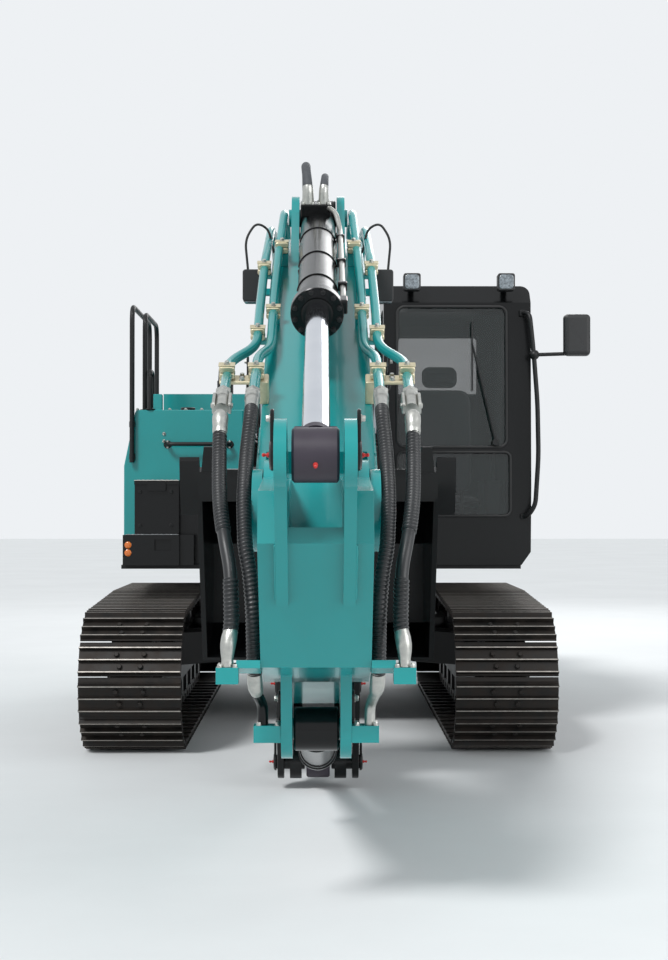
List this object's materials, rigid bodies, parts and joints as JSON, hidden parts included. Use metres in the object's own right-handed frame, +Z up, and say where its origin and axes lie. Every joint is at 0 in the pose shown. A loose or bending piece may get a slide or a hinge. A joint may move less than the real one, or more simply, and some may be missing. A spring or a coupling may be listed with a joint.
{
  "type": "crawler excavator",
  "caption": "Hydraulic crawler excavator with a cab, boom, arm and backhoe bucket, parked with the arm tucked in and the bucket curled.",
  "frame": {"origin": "on the ground under the axis about which the upper structure swings, midway between the tracks", "axes": "+Z up, the machine faces -Y, +X is its left side, where the cab is"},
  "size_m": [3.119, 9.4929, 3.2459],
  "materials": {
    "black_paint": "satin",
    "cloth": "woven",
    "engine_iron": "cast",
    "glass": "clear",
    "hose_rubber": "matte",
    "rod_chrome": "polished",
    "teal_paint": "gloss",
    "track_steel": "worn",
    "trim": "matte"
  },
  "bodies": {
    "cab_door": {"cab_door": "black_paint", "door_glass": "glass"},
    "bonnet": {"bonnet": "teal_paint"},
    "left_door": {"left_door": "teal_paint"},
    "right_door": {"right_door": "teal_paint"},
    "tool_box_lid": {"tool_box_lid": "black_paint"},
    "boom": {"boom": "teal_paint", "boom_pipes": "teal_paint", "boom_lamps": "trim", "arm_hoses": "hose_rubber"},
    "boom_barrels": {"boom_barrels": "black_paint"},
    "boom_rods": {"boom_rods": "rod_chrome"},
    "arm_barrel": {"arm_barrel": "black_paint", "barrel_hoses": "hose_rubber"},
    "arm_rod": {"arm_rod": "rod_chrome"},
    "arm": {"arm": "teal_paint", "arm_blocks": "teal_paint"},
    "bucket_barrel": {"bucket_barrel": "black_paint"},
    "bucket_rod": {"bucket_rod": "rod_chrome"},
    "side_links": {"side_links": "black_paint"},
    "push_link": {"push_link": "black_paint"},
    "bucket": {"bucket": "black_paint"},
    "undercarriage": {"car_body": "black_paint", "track_frame_left": "black_paint", "track_frame_right": "black_paint", "track_left": "track_steel", "track_right": "track_steel", "idler_left": "black_paint", "idler_right": "black_paint", "sprocket_left": "black_paint", "sprocket_right": "black_paint", "rollers_left": "black_paint", "rollers_right": "black_paint"},
    "upper": {"revolving_frame": "black_paint", "counterweight": "teal_paint", "engine": "engine_iron", "cooler": "black_paint", "valve_block": "black_paint", "cab": "black_paint", "cab_glass": "glass", "operator_chair": "cloth", "console": "trim", "fuel_tank": "teal_paint", "tool_box": "black_paint", "handrails": "black_paint", "mirror": "trim", "cab_lamps": "trim", "housing": "teal_paint", "exhaust": "black_paint"}
  },
  "joints": [
    {"name": "swing", "type": "hinge", "parent": "undercarriage", "child": "upper", "pos_m": [0, 0, 0.96], "axis": [0, 0, 1], "continuous": true},
    {"name": "boom_lift", "type": "hinge", "parent": "upper", "child": "boom", "pos_m": [0, -0.1, 1.72], "axis": [-1, 0, 0], "range_deg": [-30, 62]},
    {"name": "arm_in", "type": "hinge", "parent": "boom", "child": "arm", "pos_m": [0, -5.7, 1.45], "axis": [1, 0, 0], "range_deg": [-120, 0], "deforming": ["arm_hoses"]},
    {"name": "bucket_curl", "type": "hinge", "parent": "arm", "child": "bucket", "pos_m": [0, -3.04309, 0.53515], "axis": [1, 0, 0], "range_deg": [-150, 0]},
    {"name": "cab_door_hinge", "type": "hinge", "parent": "upper", "child": "cab_door", "pos_m": [1.3715, -0.085, 2], "axis": [0, 0, 1], "range_deg": [0, 165]},
    {"name": "left_door_hinge", "type": "hinge", "parent": "upper", "child": "left_door", "pos_m": [1.3665, 1.996, 1.6], "axis": [0, 0, 1], "range_deg": [0, 85]},
    {"name": "right_door_hinge", "type": "hinge", "parent": "upper", "child": "right_door", "pos_m": [-1.3665, 0.684, 1.6], "axis": [0, 0, 1], "range_deg": [0, 85]},
    {"name": "bonnet_hinge", "type": "hinge", "parent": "upper", "child": "bonnet", "pos_m": [0, 0.998, 2.202], "axis": [1, 0, 0], "range_deg": [0, 65]},
    {"name": "tool_box_hinge", "type": "hinge", "parent": "upper", "child": "tool_box_lid", "pos_m": [-0.9, -0.44, 1.614], "axis": [-1, 0, 0], "range_deg": [0, 60]},
    {"name": "boom_cylinders", "type": "hinge", "parent": "upper", "child": "boom_barrels", "pos_m": [0, -0.76, 1.19], "axis": [-1, 0, 0], "range_deg": [-28.88, 59.65]},
    {"name": "boom_rods_out", "type": "slide", "parent": "boom_barrels", "child": "boom_rods", "axis": [0, -0.8813, 0.4726], "range_m": [-0.4196, 0.8666]},
    {"name": "arm_cylinder", "type": "hinge", "parent": "boom", "child": "arm_barrel", "pos_m": [0, -3.2, 2.95], "axis": [1, 0, 0], "range_deg": [-0.03, 2.72]},
    {"name": "arm_rod_out", "type": "slide", "parent": "arm_barrel", "child": "arm_rod", "axis": [0, -0.9289, -0.3704], "range_m": [-1.4443, 0.0006]},
    {"name": "bucket_cylinder", "type": "hinge", "parent": "arm", "child": "bucket_barrel", "pos_m": [0, -5.75833, 0.66629], "axis": [1, 0, 0], "range_deg": [-0.03, 5.08]},
    {"name": "bucket_rod_out", "type": "slide", "parent": "bucket_barrel", "child": "bucket_rod", "axis": [0, 0.9807, -0.1957], "range_m": [-0.9454, 0.0006]},
    {"name": "side_links_turn", "type": "hinge", "parent": "arm", "child": "side_links", "pos_m": [0, -3.44998, 0.64353], "axis": [1, 0, 0], "range_deg": [-106.9, 0.03]},
    {"name": "push_link_turn", "type": "hinge", "parent": "side_links", "child": "push_link", "pos_m": [0, -3.12319, 0.14032], "axis": [1, 0, 0], "range_deg": [-0.03, 58.65]}
  ],
  "couplings": [
    {"joint": "boom_cylinders", "follows": "boom_lift", "ratio": 0.96142},
    {"joint": "boom_rods_out", "follows": "boom_lift", "m_per_rad": 0.80031},
    {"joint": "arm_cylinder", "follows": "arm_in", "ratio": -0.02239},
    {"joint": "arm_rod_out", "follows": "arm_in", "m_per_rad": 0.68933},
    {"joint": "bucket_cylinder", "follows": "bucket_curl", "ratio": -0.03363},
    {"joint": "bucket_rod_out", "follows": "bucket_curl", "m_per_rad": 0.36089},
    {"joint": "side_links_turn", "follows": "bucket_curl", "ratio": 0.71245},
    {"joint": "push_link_turn", "follows": "bucket_curl", "ratio": -0.39074}
  ]
}
